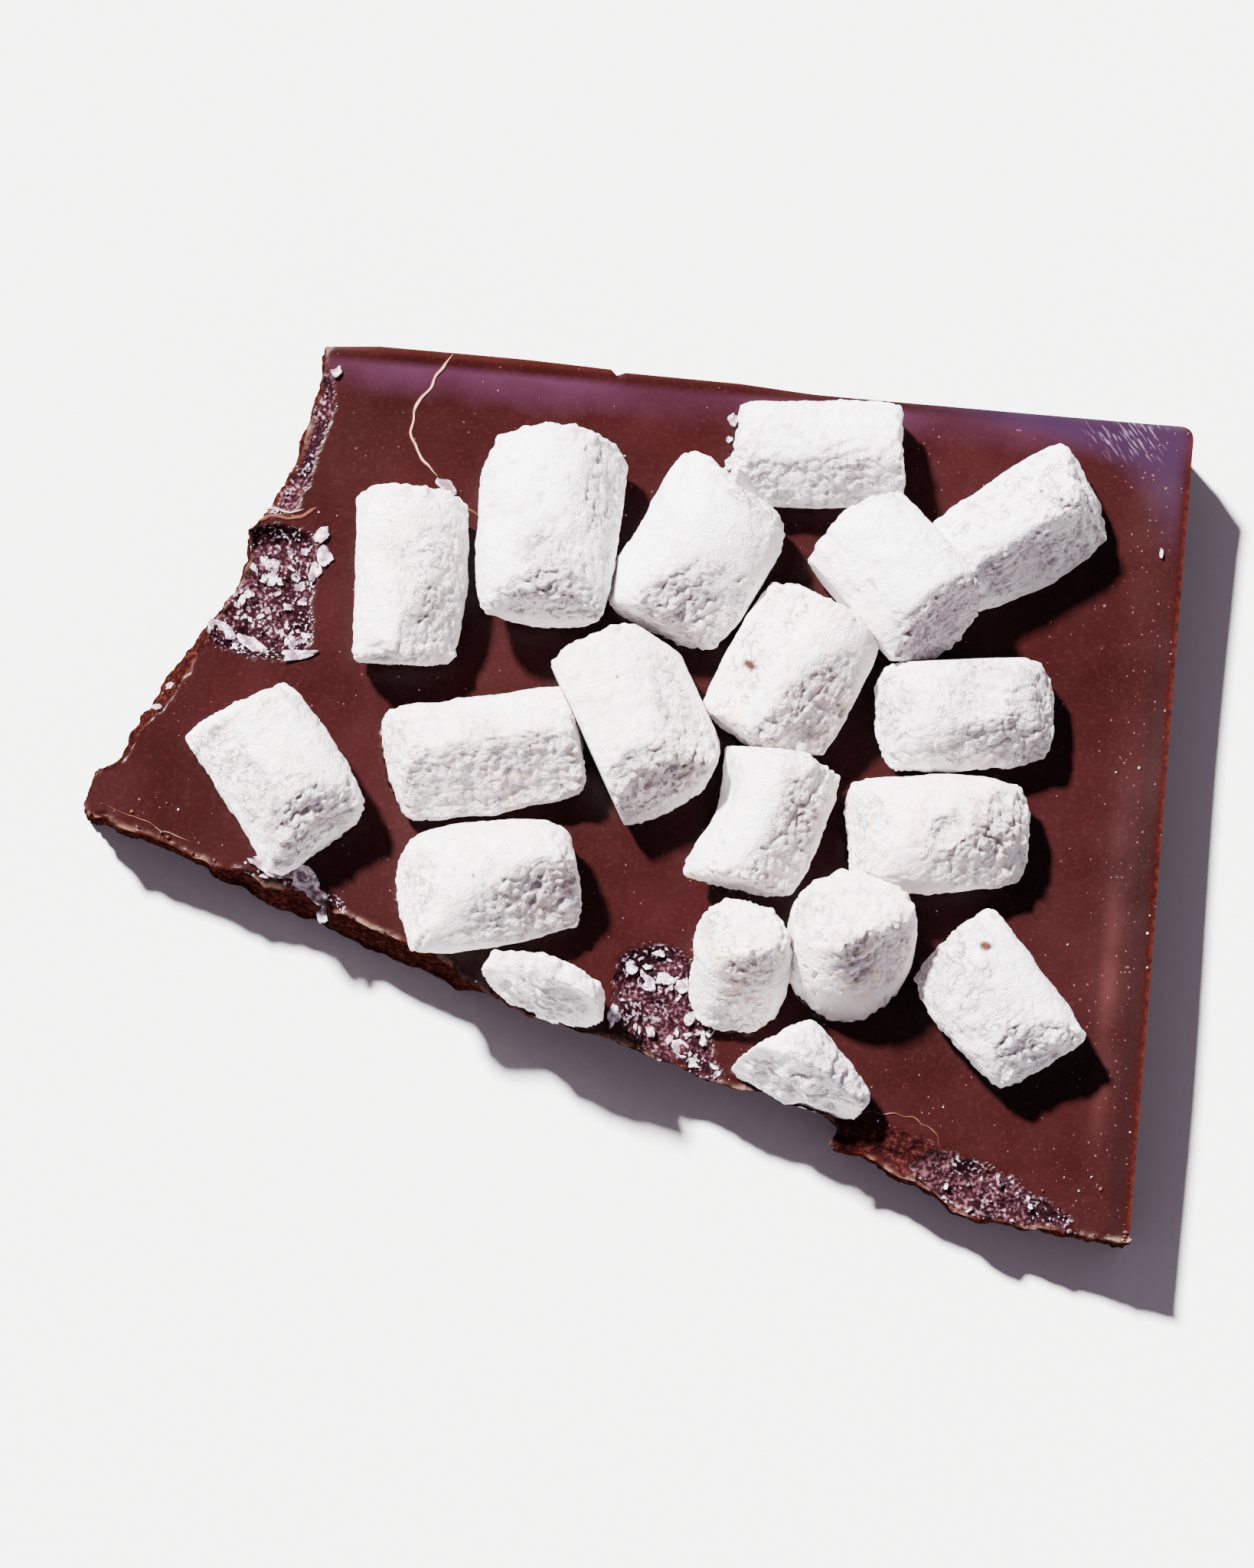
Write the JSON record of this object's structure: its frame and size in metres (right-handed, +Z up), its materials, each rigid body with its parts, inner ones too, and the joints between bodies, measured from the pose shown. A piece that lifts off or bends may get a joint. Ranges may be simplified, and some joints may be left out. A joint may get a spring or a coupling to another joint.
{
  "type": "marshmallow chocolate bar",
  "caption": "Snapped corner shard of a poured chocolate bar with dried mini marshmallows set in its top, moulded on two sides and broken on two.",
  "frame": {"origin": "middle of the box on the plan, on the flat underside", "axes": "+X along the moulded back edge towards the moulded corner, +Y towards the moulded back edge, +Z up through the marshmallows"},
  "size_m": [0.0862, 0.066, 0.0192],
  "materials": {
    "chocolate": "satin dark milk chocolate, dull and granular on its broken sides",
    "marshmallow": "matt white, dried and lightly dusted with starch"
  },
  "bodies": {
    "root": {"chocolate_slab": "chocolate", "marshmallow_01": "marshmallow", "marshmallow_02": "marshmallow", "marshmallow_03": "marshmallow", "marshmallow_04": "marshmallow", "marshmallow_05": "marshmallow", "marshmallow_06": "marshmallow", "marshmallow_07": "marshmallow", "marshmallow_08": "marshmallow", "marshmallow_09": "marshmallow", "marshmallow_10": "marshmallow", "marshmallow_11": "marshmallow", "marshmallow_12": "marshmallow", "marshmallow_13": "marshmallow", "marshmallow_14": "marshmallow", "marshmallow_15": "marshmallow", "marshmallow_16": "marshmallow", "marshmallow_17": "marshmallow", "half_marshmallow_1": "marshmallow", "half_marshmallow_2": "marshmallow"}
  },
  "joints": []
}
